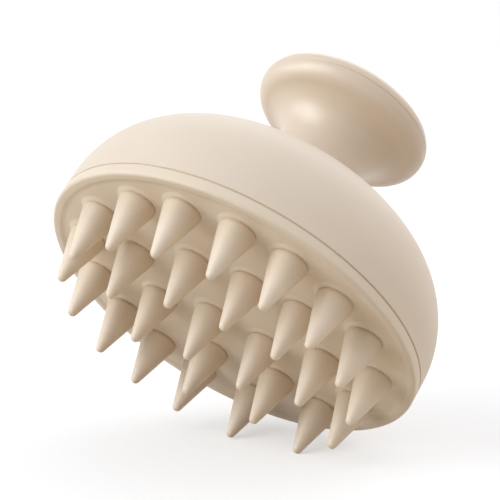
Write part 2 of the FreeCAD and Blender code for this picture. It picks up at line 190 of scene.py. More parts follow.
class DomeSizes(PropertyGroup):
    """Sizes of the hollow dome"""
    radius: length("Outside of the dome's skirt", DOME_HIGH.x / MM)
    skirt_height: length("Upright wall above the seam", 3.5)
    skirt_wall: length("Wall round the bore", 2.5)
    bore_depth: length("Straight bore that takes the brush head", 6.5)
    shoulder_radius: length("Arc between skirt and crown", 21.7)
    crown_radius: length("Arc of the crown", 79)
    top_wall: length("Wall of the crown", 3)
    seam_gap: length("Height of the shadow line at the foot", 0.35)
    seam_depth: length("Depth of the shadow line", 0.28)
    collar_rise: length("Height of the handle's joint above the crown", 0.4)
    boss_margin: length("Boss round the washer", 0.5)
    socket_radius: length("Bore that takes the handle's foot", 6.05)
    edge_soft: length("Rounding of the moulded edges", 0.14)


class HandleSizes(PropertyGroup):
    """Sizes of the neck, the knob's bowl and its cap"""
    flare_radius: length("Arc from the dome into the neck", 8.2)
    neck_radius: length("Waist of the neck", 9.7)
    neck_length: length("Straight part of the waist", 2.25)
    neck_wall: length("Wall of the hollow neck", 3.2)
    neck_floor: length("Solid floor above the joint", 4)
    foot_radius: length("Spigot that enters the dome", 6)
    pilot_radius: length("Hole for the handle's screw", 2.03)
    pilot_depth: length("Depth of the hole for the screw", 7)
    funnel_radius: length("Arc from the waist out under the knob", 7.8)
    knob_radius: length("Widest part of the knob", NECK_HIGH.x / MM)
    knob_edge_radius: length("Rounding under the knob's edge", 3.5)
    knob_top_radius: length("Rounding above the knob's edge", 3.4)
    knob_wall: length("Wall of the bowl", 2.2)
    bowl_drop: length("Straight wall of the bowl below its widest part", 1.6)
    bowl_rise: length("Height of the bowl's cone", 4)
    cap_gap: length("Height of the line round the cap", 0.2)
    cap_gap_depth: length("Depth of the line round the cap", 0.1)
    cap_soft: length("Rounded lips of the line round the cap", 0.25)
    cap_clearance: length("Play of the cap's spigot", 0.05)
    cap_wall: length("Wall of the cap's spigot", 1.6)
    cap_thickness: length("Thickness of the cap", 2)
    edge_soft: length("Rounding of the moulded edges", 0.12)


class HeadSizes(PropertyGroup):
    """Sizes of the face plate and what is fixed in it"""
    plate_thickness: length("Floor that the bristles stand on", 2)
    floor_drop: length("Floor below the seam", 2)
    rim_edge_round: length("Outer rounding of the rim", 0.65)
    rim_land_width: length("Flat of the rim", 1.05)
    rim_bevel_width: length("Slope between rim and floor", 0.8)
    rim_soft: length("Rounding between the rim's land and its slope", 0.25)
    floor_soft: length("Hollow between the slope and the floor", 0.45)
    spigot_clearance: length("Play of the head in the dome", 0.08)
    spigot_wall: length("Wall of the spigot", 2)
    spigot_lead: length("Slope at the spigot's end", 0.5)
    groove_depth: length("Depth of the seal's groove", 1.1)
    groove_width: length("Width of the seal's groove", 1.6)
    hole_radius: length("Holes for the bristles' stems", 2.35)
    boss_radius: length("Bosses for the retainer's screws", 2.4)
    pilot_radius: length("Holes for the retainer's screws", 1.23)
    pilot_skin: length("Floor left under the screw holes", 0.8)
    screw_ring: length("Circle of the retainer's screws", 22.436)
    collar_width: length("Swelling of the floor round a bristle's root", 1.4)
    collar_height: length("Height of that swelling", 0.36)
    collar_inset: length("Crest of that swelling inside the root's widest part", 0.3)
    edge_soft: length("Rounding of the moulded edges", 0.14)


class BristleSizes(PropertyGroup):
    """Sizes of one silicone bristle"""
    root_radius: length("Cone at the floor", (BRISTLE_HIGH.x - BRISTLE_LOW.x) / 2 / MM)
    tip_radius: length("Ball of the tip", 1)
    foot_round: length("Rounded shoulder at the floor", 1.1)
    # Painted shade: the cones are darkened over this length towards the floor, where shade gathers round
    # their roots
    painted_root_shade_length: length("Length of cone over which the thick root's deeper tone fades", 7)
    stem_radius: length("Stem through the plate", 2.3)
    flange_radius: length("Flange behind the plate", 3.3)
    sides: IntProperty(description="Faces round one bristle", default=48, min=12)
    seed: IntProperty(description="Seed of each bristle's own turn about its axis", default=7)


class Finishes(PropertyGroup):
    """Colours and surfaces"""
    dome: colour("Matte ivory of the dome", (0.735, 0.64, 0.54))
    handle: colour("Satin ivory of the neck and knob", (0.69, 0.575, 0.455))
    head: colour("Satin ivory of the face plate", (0.755, 0.66, 0.54))
    silicone: colour("Ivory silicone of the bristles", (0.80, 0.70, 0.58))
    # Painted shade: share of the silicone's tone left where the cone meets the floor
    root: colour("Share of the silicone's tone left at the thick root", (0.81, 0.75, 0.67))
    # Painted shade: share of the dome's tone left in the groove of the shadow line at its foot
    line: colour("Share of the dome's tone left in the shadow line", (0.85, 0.72, 0.50))
    inner: colour("Plain plastic of the retainer", (0.70, 0.62, 0.53))
    rubber: colour("Dark rubber of the seal", (0.028, 0.027, 0.026))
    steel: colour("Bare steel of screws and washer", (0.56, 0.56, 0.55))
    dome_roughness: share("Matte of the dome", 0.5)
    handle_roughness: share("Satin of the handle", 0.34)
    head_roughness: share("Satin of the face plate", 0.46)
    silicone_roughness: share("Silky surface of the bristles", 0.48)
    dome_grain: length("Size of the dome's spark texture", 0.4)
    fine_grain: length("Size of the polish marks on smooth parts", 0.5)


class Studio(PropertyGroup):
    """Camera, floor and light"""
    below: bearing("Camera below the level of the seam", 25.373)
    roll: bearing("Camera turned about its view", 30.977)
    pan: bearing("Camera turned aside", 0.43)
    tilt: bearing("Camera turned up", -1.438)
    distance: length("From the seam's middle to the camera", 393.127)
    lens: FloatProperty(description="Focal length", default=144, unit="CAMERA")
    floor_pitch: bearing("Floor seen from above by this angle", 12)
    key_level: brightness("Light of the main lamp on a face turned to it", 0.575)
    side_level: brightness("Light of the lamp at the left on a face turned to it", 0.43)
    edge_level: brightness("Light of the lamp behind the brush on a face turned to it", 0.2)
    lamp_tint: colour("Daylight tint of the lamps", (0.935, 0.975, 1.0))
    room_level: brightness("Strength of the room's own light", 1.2285)
    right_light: colour("Light of the room from the picture's right", (1.0, 0.971, 0.948))
    left_light: colour("Light of the room from the picture's left", (0.248, 0.233, 0.229))
    back_light: colour("Light of the room from above and behind", (0.162, 0.162, 0.162))
    bounce: colour("Warm light that the floor throws back", (0.55, 0.46, 0.355))
    floor_tone: colour("Floor to the camera, which a shadow darkens", (0.60, 0.615, 0.64))
    floor_glow: share("Light that is added to the floor to the camera", 0.47)


class BrushSettings(PropertyGroup):
    """Everything of the brush that a user may change"""
    dome: PointerProperty(type=DomeSizes)
    handle: PointerProperty(type=HandleSizes)
    head: PointerProperty(type=HeadSizes)
    bristles: PointerProperty(type=BristleSizes)
    finishes: PointerProperty(type=Finishes)
    studio: PointerProperty(type=Studio)


# Sections of the turned pieces: a place is a complex number, across plus up times 1j

def corner(across, up, soft=0.0, arc=0.0, bend=LEFT):
    """Corner of a section: its rounding, and the radius and bend where an arc leads to the next corner."""
    return SimpleNamespace(place=complex(across, up), soft=soft, arc=arc, bend=bend)


def edge_path(start, end):
    """Length of the edge between two corners, and a function for the place at a distance along it."""
    chord = end.place - start.place
    if not start.arc:
        return abs(chord), lambda reach: start.place + chord * (reach / abs(chord))
    rise = math.sqrt(max(start.arc ** 2 - abs(chord) ** 2 / 4, 0))
    centre = start.place + chord / 2 + 1j * chord / abs(chord) * start.bend * rise
    arm = start.place - centre
    sweep = 2 * math.asin(min(abs(chord) / 2 / start.arc, 1))
    return start.arc * sweep, lambda reach: centre + arm * cmath.exp(1j * start.bend * reach / start.arc)


def section_points(corners, closed, step=ARC_STEP):
    """Points along a section, with its corners rounded, ordered so that a turned face looks outwards."""
    count = len(corners)
    paths = [edge_path(corners[i], corners[(i + 1) % count]) for i in range(count)]
    places = []
    for i in range(count if closed else count - 1):
        here, there = corners[i], corners[(i + 1) % count]
        whole, along = paths[i]
        if here.soft:
            before, arriving = paths[i - 1]
            enter, leave = arriving(before - here.soft), along(here.soft)
            for k in range(CORNER_STEPS + 1):
                t = k / CORNER_STEPS
                places.append((1 - t) ** 2 * enter + 2 * t * (1 - t) * here.place + t * t * leave)
        else:
            places.append(here.place)
        spare = whole - here.soft - there.soft
        first = here.soft + min(here.soft, spare / 3)
        last = whole - there.soft - min(there.soft, spare / 3)
        steps = max(1, math.ceil((last - first) / step)) if here.arc else 1
        reaches = [first + (last - first) * k / steps for k in range(steps + 1)]
        reaches = reaches[0 if here.soft else 1:steps + 1 if there.soft else steps]
        places.extend(along(reach) for reach in reaches)
    places.append(places[0] if closed else corners[-1].place)
    return [(place.real, 0, place.imag) for place in reversed(places)]


def shared_places(brush):
    """Levels and tangent points that follow from the sizes and that pieces share."""
    dome, handle, head = brush.dome, brush.handle, brush.head
    at = SimpleNamespace()
    at.seam = DOME_LOW.z
    at.skirt_top = at.seam + dome.skirt_height
    at.crown = at.skirt_top - math.sqrt((dome.crown_radius - dome.shoulder_radius) ** 2
                                        - (dome.radius - dome.shoulder_radius) ** 2)
    at.apex = at.crown + dome.crown_radius
    at.joint = at.apex + dome.collar_rise
    at.flare_x = handle.neck_radius + handle.flare_radius
    at.flare_z = at.crown + math.sqrt((dome.crown_radius + handle.flare_radius) ** 2 - at.flare_x ** 2)
    at.joint_x = at.flare_x - math.sqrt(handle.flare_radius ** 2 - (at.flare_z - at.joint) ** 2)
    at.bore = dome.radius - dome.skirt_wall
    at.bore_top = at.seam + dome.bore_depth
    at.floor = at.seam - head.floor_drop
    at.plate_top = at.floor + head.plate_thickness
    at.waist = at.flare_z + handle.neck_length
    at.knob_x = handle.knob_radius - handle.knob_edge_radius
    at.knob_reach = handle.funnel_radius + handle.knob_edge_radius
    at.funnel_x = handle.neck_radius + handle.funnel_radius
    at.knob = at.waist + math.sqrt(at.knob_reach ** 2 - (at.knob_x - at.funnel_x) ** 2)
    at.cap_seam = NECK_HIGH.z
    at.bowl = handle.knob_radius - handle.knob_wall
    return at


def top_edge_x(brush, at, height):
    """Distance from the axis to the knob's upper rounding at a height."""
    rounding = brush.handle.knob_top_radius
    return brush.handle.knob_radius - rounding + math.sqrt(rounding ** 2 - (height - at.knob) ** 2)


def dome_section(brush):
    """Section of the dome: shadow line, skirt, shoulder, crown, flare, handle's seat and hollow."""
    dome, handle = brush.dome, brush.handle
    at = shared_places(brush)
    soft = dome.edge_soft
    shoulder_x = dome.radius - dome.shoulder_radius
    outwards = dome.crown_radius / (dome.crown_radius - dome.shoulder_radius)
    flare_share = dome.crown_radius / (dome.crown_radius + handle.flare_radius)
    inner_crown = dome.crown_radius - dome.top_wall
    rise = at.bore_top - at.crown
    inner_shoulder = (inner_crown ** 2 - at.bore ** 2 - rise ** 2) / 2 / (inner_crown - at.bore)
    inwards = inner_crown / (inner_crown - inner_shoulder)
    boss = WASHER_HIGH.x + dome.boss_margin
    return section_points([
        corner(at.bore, at.seam, soft),
        corner(dome.radius - dome.seam_depth, at.seam, soft / 2),
        corner(dome.radius - dome.seam_depth, at.seam + dome.seam_gap, soft / 2),
        corner(dome.radius, at.seam + dome.seam_gap, soft),
        corner(dome.radius, at.skirt_top, arc=dome.shoulder_radius),
        corner(shoulder_x * outwards, at.crown + (at.skirt_top - at.crown) * outwards,
               arc=dome.crown_radius),
        corner(at.flare_x * flare_share, at.crown + (at.flare_z - at.crown) * flare_share,
               arc=handle.flare_radius, bend=RIGHT),
        corner(at.joint_x, at.joint),
        corner(dome.socket_radius, at.joint, soft),
        corner(dome.socket_radius, WASHER_HIGH.z, soft),
        corner(boss, WASHER_HIGH.z, soft),
        corner(boss, at.crown + math.sqrt(inner_crown ** 2 - boss ** 2), soft, arc=inner_crown, bend=RIGHT),
        corner((at.bore - inner_shoulder) * inwards, at.crown + rise * inwards,
               arc=inner_shoulder, bend=RIGHT),
        corner(at.bore, at.bore_top),
    ], closed=True)


def handle_section(brush):
    """Section of the handle: foot, flare, waist, funnel, knob edge and the bowl inside."""
    handle = brush.handle
    at = shared_places(brush)
    soft = handle.edge_soft
    funnel_share = handle.funnel_radius / at.knob_reach
    bowl_low = at.knob - handle.bowl_drop
    pilot_top = NECK_LOW.z + handle.pilot_depth
    inner = handle.neck_radius - handle.neck_wall
    return section_points([
        corner(0, pilot_top),
        corner(handle.pilot_radius, pilot_top),
        corner(handle.pilot_radius, NECK_LOW.z, soft),
        corner(handle.foot_radius, NECK_LOW.z, soft),
        corner(handle.foot_radius, at.joint, soft),
        corner(at.joint_x, at.joint, arc=handle.flare_radius, bend=RIGHT),
        corner(handle.neck_radius, at.flare_z),
        corner(handle.neck_radius, at.waist, arc=handle.funnel_radius, bend=RIGHT),
        corner(at.funnel_x + (at.knob_x - at.funnel_x) * funnel_share,
               at.waist + (at.knob - at.waist) * funnel_share, arc=handle.knob_edge_radius),
        corner(handle.knob_radius, at.knob, arc=handle.knob_top_radius),
        corner(top_edge_x(brush, at, at.cap_seam), at.cap_seam, handle.cap_soft),
        corner(at.bowl, at.cap_seam, soft),
        corner(at.bowl, bowl_low, soft),
        corner(inner, bowl_low - handle.bowl_rise, soft),
        corner(inner, at.joint + handle.neck_floor, soft),
        corner(0, at.joint + handle.neck_floor),
    ], closed=False, step=KNOB_STEP)


def cap_section(brush):
    """Section of the knob's cap: spigot, line round the edge, rounded edge and flat top."""
    handle = brush.handle
    at = shared_places(brush)
    soft = handle.edge_soft
    spigot = at.bowl - handle.cap_clearance
    land = top_edge_x(brush, at, at.cap_seam) - handle.cap_gap_depth
    edge = at.cap_seam + handle.cap_gap
    under = CAP_HIGH.z - handle.cap_thickness
    return section_points([
        corner(0, under),
        corner(spigot - handle.cap_wall, under, soft),
        corner(spigot - handle.cap_wall, CAP_LOW.z, soft),
        corner(spigot, CAP_LOW.z, soft),
        corner(spigot, at.cap_seam, soft),
        corner(land, at.cap_seam, soft / 2),
        corner(top_edge_x(brush, at, edge), edge, soft, arc=handle.knob_top_radius),
        corner(handle.knob_radius - handle.knob_top_radius, CAP_HIGH.z),
        corner(0, CAP_HIGH.z),
    ], closed=False, step=FINE_STEP)


def plate_section(brush):
    """Section of the face plate: floor, slope, rolled rim and the grooved spigot."""
    head, dome = brush.head, brush.dome
    at = shared_places(brush)
    soft = head.edge_soft
    land_outer = dome.radius - head.rim_edge_round
    land_inner = land_outer - head.rim_land_width
    spigot = at.bore - head.spigot_clearance
    groove = spigot - head.groove_depth
    middle = (SEAL_LOW.z + SEAL_HIGH.z) / 2
    return section_points([
        corner(0, at.floor),
        corner(land_inner - head.rim_bevel_width, at.floor, head.floor_soft),
        corner(land_inner, PLATE_LOW.z, head.rim_soft),
        corner(land_outer, PLATE_LOW.z, arc=head.rim_edge_round),
        corner(dome.radius, PLATE_LOW.z + head.rim_edge_round),
        corner(dome.radius, at.seam, soft),
        corner(spigot, at.seam, soft),
        corner(spigot, middle - head.groove_width / 2, soft),
        corner(groove, middle - head.groove_width / 2, soft),
        corner(groove, middle + head.groove_width / 2, soft),
        corner(spigot, middle + head.groove_width / 2, soft),
        corner(spigot, PLATE_HIGH.z - head.spigot_lead, soft),
        corner(spigot - head.spigot_lead, PLATE_HIGH.z, soft),
        corner(spigot - head.spigot_wall, PLATE_HIGH.z, soft),
        corner(spigot - head.spigot_wall, at.plate_top, soft),
        corner(0, at.plate_top),
    ], closed=False, step=FINE_STEP)


def seal_section():
    """Section of the rubber ring: a circle with the fine ridges of its mould inside and outside."""
    radius = (SEAL_HIGH.z - SEAL_LOW.z) / 2
    middle = complex(SEAL_HIGH.x - radius, SEAL_LOW.z + radius)
    points = []
    for k in range(SEAL_STEPS + 1):
        angle = -2 * math.pi * k / SEAL_STEPS
        on_ridge = k % (SEAL_STEPS // 2) == 0
        reach = radius if on_ridge else radius * SEAL_RING_SHARE
        place = middle + reach * cmath.exp(1j * angle)
        points.append((place.real, 0, place.imag))
    return points


def bristle_section(brush):
    """Section of one bristle: round tip, cone, rounded foot on the floor, stem and flange."""
    bristle = brush.bristles
    at = shared_places(brush)
    foot = at.floor - bristle.foot_round
    rise = foot - bristle.tip_radius
    reach = math.hypot(bristle.root_radius, rise)
    side = math.sqrt(reach ** 2 - bristle.tip_radius ** 2)
    out = (bristle.tip_radius * bristle.root_radius + side * rise) / reach ** 2
    up = (bristle.tip_radius * rise - side * bristle.root_radius) / reach ** 2
    soft = bristle.foot_round / 6
    return section_points([
        corner(0, 0, arc=bristle.tip_radius),
        corner(bristle.tip_radius * out, bristle.tip_radius * (1 + up)),
        corner(bristle.root_radius, foot, soft, arc=bristle.foot_round),
        corner(bristle.root_radius - bristle.foot_round, at.floor),
        corner(bristle.stem_radius, at.floor, soft),
        corner(bristle.stem_radius, at.plate_top, soft),
        corner(bristle.flange_radius, at.plate_top, soft),
        corner(bristle.flange_radius, BRISTLE_HIGH.z, soft),
        corner(0, BRISTLE_HIGH.z),
    ], closed=False, step=BRISTLE_STEP)


def collar_section(brush):
    """Section of the soft swelling of the floor round a bristle's root."""
    head = brush.head
    at = shared_places(brush)
    crest = brush.bristles.root_radius - head.collar_inset
    places = [complex(crest - head.collar_height / 2, at.floor)]
    for k in range(COLLAR_STEPS + 1):
        t = k / COLLAR_STEPS
        fall = (1 + math.cos(math.pi * t)) / 2
        places.append(complex(crest + head.collar_width * t, at.floor - head.collar_height * fall))
    places.append(places[0])
    return [(place.real, 0, place.imag) for place in places]


# Node trees

def attach(tree, socket, value):
    """Join an output, or a node's first output, to a socket, or set the socket's own value."""
    if isinstance(value, bpy.types.Node):
        value = value.outputs[0]
    if isinstance(value, bpy.types.NodeSocket):
        tree.links.new(value, socket)
    else:
        socket.default_value = value


def feed(tree, node, values):
    """Give a node values for its named or numbered inputs."""
    for name, value in values.items():
        attach(tree, node.inputs[name], value)


def step_node(tree, kind, values, **settings):
    """Add a node with its settings and with values for its inputs."""
    node = tree.nodes.new(kind)
    for name, setting in settings.items():
        setattr(node, name, setting)
    feed(tree, node, values)
    return node


def sum_node(tree, operation, *values):
    """Add a math node."""
    return step_node(tree, "ShaderNodeMath", dict(enumerate(values)), operation=operation)


def form_tree(name, inputs):
    """Empty tree of geometry nodes with named inputs, and the outputs of its input node."""
    tree = bpy.data.node_groups.new(name, "GeometryNodeTree")
    tree.interface.new_socket("Geometry", in_out="OUTPUT", socket_type="NodeSocketGeometry")
    for label, kind in inputs.items():
        tree.interface.new_socket(label, in_out="INPUT", socket_type="NodeSocket" + kind)
    return tree, tree.nodes.new("NodeGroupInput").outputs


def close_tree(tree, geometry, material):
    """End a tree in plain faces with one material."""
    real = step_node(tree, "GeometryNodeRealizeInstances", {"Geometry": geometry})
    painted = step_node(tree, "GeometryNodeSetMaterial", {"Geometry": real, "Material": material})
    attach(tree, tree.nodes.new("NodeGroupOutput").inputs[0], painted)


def turned_faces(tree, section, segments):
    """Turn a section about Z: one row of a grid for each point, one column for each step round."""
    rows = step_node(tree, "GeometryNodeAttributeDomainSize", {0: section}).outputs["Point Count"]
    columns = sum_node(tree, "ADD", segments, 1)
    grid = step_node(tree, "GeometryNodeMeshGrid", {"Vertices X": rows, "Vertices Y": columns})
    index = tree.nodes.new("GeometryNodeInputIndex")
    row = sum_node(tree, "FLOOR", sum_node(tree, "DIVIDE", index, columns))
    column = sum_node(tree, "SUBTRACT", index, sum_node(tree, "MULTIPLY", row, columns))
    place = tree.nodes.new("GeometryNodeInputPosition")
    picked = step_node(tree, "GeometryNodeSampleIndex", {"Geometry": section, "Value": place, "Index": row},
                       data_type="FLOAT_VECTOR")
    parts = step_node(tree, "ShaderNodeSeparateXYZ", {0: picked}).outputs
    angle = sum_node(tree, "DIVIDE", sum_node(tree, "MULTIPLY", column, 2 * math.pi), segments)
    across = sum_node(tree, "MULTIPLY", parts["X"], sum_node(tree, "COSINE", angle))
    along = sum_node(tree, "MULTIPLY", parts["X"], sum_node(tree, "SINE", angle))
    spot = step_node(tree, "ShaderNodeCombineXYZ", {"X": across, "Y": along, "Z": parts["Z"]})
    moved = step_node(tree, "GeometryNodeSetPosition", {"Geometry": grid, "Position": spot})
    return step_node(tree, "GeometryNodeMergeByDistance", {"Geometry": moved, "Distance": MERGE_DISTANCE})


def smooth_faces(tree, geometry):
    """Shade faces smooth and keep edges that bend far sharp."""
    smooth = step_node(tree, "GeometryNodeSetShadeSmooth", {"Geometry": geometry, "Shade Smooth": True})
    bend = tree.nodes.new("GeometryNodeInputMeshEdgeAngle").outputs["Unsigned Angle"]
    crisp = step_node(tree, "FunctionNodeCompare", {0: bend, 1: SHARP_ANGLE}, operation="GREATER_THAN")
    values = {"Geometry": smooth, "Selection": crisp, "Shade Smooth": False}
    return step_node(tree, "GeometryNodeSetShadeSmooth", values, domain="EDGE")


def turned_tree():
    """Tree for one turned piece."""
    inputs = {"Section": "Geometry", "Segments": "Int", "Material": "Material"}
    tree, given = form_tree("Turned_Piece", inputs)
    faces = turned_faces(tree, given["Section"], given["Segments"])
    close_tree(tree, smooth_faces(tree, faces), given["Material"])
    return tree


def field_tree():
    """Tree for a field of equal turned pieces, each at a point and with its own turn about its axis."""
    tree, given = form_tree("Turned_Field", {
        "Places": "Geometry", "Section": "Object", "Segments": "Int", "Seed": "Int", "Material": "Material",
    })
    section = step_node(tree, "GeometryNodeObjectInfo", {"Object": given["Section"]}).outputs["Geometry"]
    faces = smooth_faces(tree, turned_faces(tree, section, given["Segments"]))
    angle = step_node(tree, "FunctionNodeRandomValue", {"Max": 2 * math.pi, "Seed": given["Seed"]},
                      data_type="FLOAT")
    spin = step_node(tree, "ShaderNodeCombineXYZ", {"Z": angle.outputs["Value"]})
    set_out = step_node(tree, "GeometryNodeInstanceOnPoints",
                        {"Points": given["Places"], "Instance": faces, "Rotation": spin})
    close_tree(tree, set_out, given["Material"])
    return tree


def rods(tree, places, radius, bottom, top):
    """Upright rods on the points of an object, between two levels."""
    points = step_node(tree, "GeometryNodeObjectInfo", {"Object": places}).outputs["Geometry"]
    tall = sum_node(tree, "SUBTRACT", top, bottom)
    rod = step_node(tree, "GeometryNodeMeshCylinder",
                    {"Vertices": ROD_SIDES, "Radius": radius, "Depth": tall})
    middle = sum_node(tree, "MULTIPLY", sum_node(tree, "ADD", top, bottom), 0.5)
    lift = step_node(tree, "ShaderNodeCombineXYZ", {"Z": middle})
    raised = step_node(tree, "GeometryNodeTransform",
                       {"Geometry": rod.outputs["Mesh"], "Translation": lift})
    set_out = step_node(tree, "GeometryNodeInstanceOnPoints", {"Points": points, "Instance": raised})
    return step_node(tree, "GeometryNodeRealizeInstances", {"Geometry": set_out})


def plate_tree():
    """Tree for the face plate: turned, with screw bosses added, then pierced for bristles and screws."""
    tree, given = form_tree("Pierced_Plate", {
        "Section": "Geometry", "Segments": "Int", "Bristle Places": "Object", "Screw Places": "Object",
        "Hole Radius": "Float", "Boss Radius": "Float", "Pilot Radius": "Float",
        "Hole Bottom": "Float", "Plate Top": "Float", "Boss Top": "Float", "Pilot Bottom": "Float",
        "Material": "Material",
    })
    plate = turned_faces(tree, given["Section"], given["Segments"])
    inside = sum_node(tree, "SUBTRACT", given["Plate Top"], BOSS_ROOT)
    above = sum_node(tree, "ADD", given["Boss Top"], OVERRUN)
    bosses = rods(tree, given["Screw Places"], given["Boss Radius"], inside, given["Boss Top"])
    raised = step_node(tree, "GeometryNodeMeshBoolean", {}, operation="UNION", solver="MANIFOLD")
    for form in (plate, bosses):
        attach(tree, raised.inputs["Mesh 2"], form)
    pierced = step_node(tree, "GeometryNodeMeshBoolean", {"Mesh 1": raised},
                        operation="DIFFERENCE", solver="MANIFOLD")
    holes = rods(tree, given["Bristle Places"], given["Hole Radius"], given["Hole Bottom"], above)
    pilots = rods(tree, given["Screw Places"], given["Pilot Radius"], given["Pilot Bottom"], above)
    for form in (holes, pilots):
        attach(tree, pierced.inputs["Mesh 2"], form)
    close_tree(tree, smooth_faces(tree, pierced), given["Material"])
    return tree


def linked_object(name, data):
    """New object in the scene."""
    item = bpy.data.objects.new(name, data)
    bpy.context.scene.collection.objects.link(item)
    return item


def points_object(name, points):
    """Object that holds loose points for a node tree."""
    mesh = bpy.data.meshes.new(name)
    mesh.from_pydata(points, [], [])
    return linked_object(name, mesh)


def drop(*holders):
    """Remove objects that only fed a node tree."""
    for holder in holders:
        mesh = holder.data
        bpy.data.objects.remove(holder)
        bpy.data.meshes.remove(mesh)


def grown_piece(name, points, tree, values):
    """Plain mesh that a node tree makes from points."""
    piece = points_object(name, points)
    grow = piece.modifiers.new("Form", "NODES")
    grow.node_group = tree
    for item in tree.interface.items_tree:
        if item.in_out == "INPUT" and item.name in values:
            grow[item.identifier] = values[item.name]
    evaluated = piece.evaluated_get(bpy.context.evaluated_depsgraph_get())
    finished = bpy.data.meshes.new_from_object(evaluated)
    loose = piece.data
    piece.modifiers.remove(grow)
    piece.data = finished
    finished.name = name
    bpy.data.meshes.remove(loose)
    if not finished.polygons:
        raise RuntimeError(f"{name} came out empty")
    return piece


def settle(piece, body, slot, *nodes):
    """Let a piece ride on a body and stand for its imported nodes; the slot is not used."""
    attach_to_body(piece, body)
    if nodes:
        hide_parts(*nodes)


def turned_piece(name, points, segments, material, body, slot):
    """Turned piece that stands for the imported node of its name."""
    tree = bpy.data.node_groups.get("Turned_Piece") or turned_tree()
    piece = grown_piece(name + "_turned", points, tree, {"Segments": segments, "Material": material})
    settle(piece, body, slot, name)


def bristle_nodes():
    """Names of the packed bristles."""
    return sorted(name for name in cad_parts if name.startswith(BRISTLE_RINGS))


def bristle_places():
    """Foot of each bristle's axis, at the level of the tips."""
    places = []
    for name in bristle_nodes():
        low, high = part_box(name)
        places.append(((low.x + high.x) / 2, (low.y + high.y) / 2, 0))
    return places


def screw_places(brush):
    """Axis of each retainer screw."""
    ring = brush.head.screw_ring
    angles = [math.radians(angle) for angle in SCREW_ANGLES]
    return [(ring * math.cos(angle), ring * math.sin(angle), 0) for angle in angles]


# Finishes

def noise(tree, where, size, detail=2.0, rough=0.5):
    """Noise with features of a given size."""
    values = {"Vector": where, "Scale": 1 / size, "Detail": detail, "Roughness": rough}
    return step_node(tree, "ShaderNodeTexNoise", values)


def spread(tree, value, low, high):
    """Stretch the middle of a noise over a range."""
    values = {"Value": value, "From Min": NOISE_LOW, "From Max": NOISE_HIGH, "To Min": low, "To Max": high}
    return step_node(tree, "ShaderNodeMapRange", values)


def mixed_colour(tree, factor, first, second, **settings):
    """Mix two colours; inputs 6 and 7 and output 2 of the node are those that hold colours."""
    values = {"Factor": factor, 6: first, 7: second}
    return step_node(tree, "ShaderNodeMix", values, data_type="RGBA", **settings).outputs[2]


def drift(tree, factor, tone, amount):
    """Colour that drifts a little darker and lighter about a tone."""
    darker = [part * (1 - amount) for part in tone] + [1]
    lighter = [min(part * (1 + amount), 1) for part in tone] + [1]
    return mixed_colour(tree, factor, darker, lighter)


def blank_finish(name):
    """New material, its shader and the object's own coordinates."""
    material = bpy.data.materials.new(name)
    material.use_nodes = True
    tree = material.node_tree
    where = tree.nodes.new("ShaderNodeTexCoord").outputs["Object"]
    return material, tree, tree.nodes["Principled BSDF"], where


def relief(tree, height, strength, depth):
    """Relief of a surface, for its shader's normal."""
    return step_node(tree, "ShaderNodeBump", {"Height": height, "Strength": strength, "Distance": depth})


def moulded_finish(name, tone, roughness, grain, strength, depth=FINE_RELIEF, gloss=0.5):
    """Moulded plastic: cloudy tone, a sheen that varies a little, and a grain in the surface."""
    material, tree, shader, where = blank_finish(name)
    cloud = noise(tree, where, CLOUD_SIZE, detail=3)
    speck = noise(tree, where, grain, detail=3, rough=0.6)
    clouds = sum_node(tree, "MULTIPLY", cloud, CLOUD_SHARE)
    specks = sum_node(tree, "MULTIPLY", speck, 1 - CLOUD_SHARE)
    mixed = sum_node(tree, "ADD", clouds, specks)
    feed(tree, shader, {
        "Base Color": drift(tree, spread(tree, mixed, 0, 1), tone, TONE_DRIFT),
        "Roughness": spread(tree, mixed, roughness - SHEEN_DRIFT, roughness + SHEEN_DRIFT),
        "Specular IOR Level": gloss,
        "Normal": relief(tree, speck, strength, depth),
    })
    return material


def paint_shade_by_height(material, start, end, tone):
    """Paint shade into a material between two levels of its piece: its tone is deepened, fully at the end
    and beyond it.
    """
    tree = material.node_tree
    base = tree.nodes["Principled BSDF"].inputs["Base Color"]
    where = tree.nodes.new("ShaderNodeTexCoord").outputs["Object"]
    height = step_node(tree, "ShaderNodeSeparateXYZ", {"Vector": where}).outputs["Z"]
    fade = {"Value": height, "From Min": start, "From Max": end}
    painted_shade_share = step_node(tree, "ShaderNodeMapRange", fade)
    plain = base.links[0].from_socket
    attach(tree, base, mixed_colour(tree, painted_shade_share, plain, (*tone, 1), blend_type="MULTIPLY"))


def dome_finish(finishes, seam_shade_top):
    """Matte ivory with the fine spark texture of the mould, and painted shade that deepens the tone in the
    shadow line.
    """
    material = moulded_finish("matte_ivory_dome", finishes.dome, finishes.dome_roughness,
                              finishes.dome_grain, strength=0.5, depth=DOME_RELIEF)
    # Painted shade: the dome's tone is deepened below the roof of the shadow line's groove
    paint_shade_by_height(material, seam_shade_top + SEAM_SHADE_FADE / 2, seam_shade_top - SEAM_SHADE_FADE / 2, finishes.line)
    return material


def silicone_finish(finishes, root, fade):
    """Silky silicone that lets a little light in, with painted shade that deepens the tone towards the
    root.
    """
    material = moulded_finish("silky_ivory_silicone", finishes.silicone, finishes.silicone_roughness,
                              finishes.fine_grain, strength=0.07, gloss=0.7)
    # Painted shade: the cone's tone is deepened towards the floor
    paint_shade_by_height(material, root - fade, root, finishes.root)
    tree = material.node_tree
    feed(tree, tree.nodes["Principled BSDF"], SILICONE_BODY)
    return material


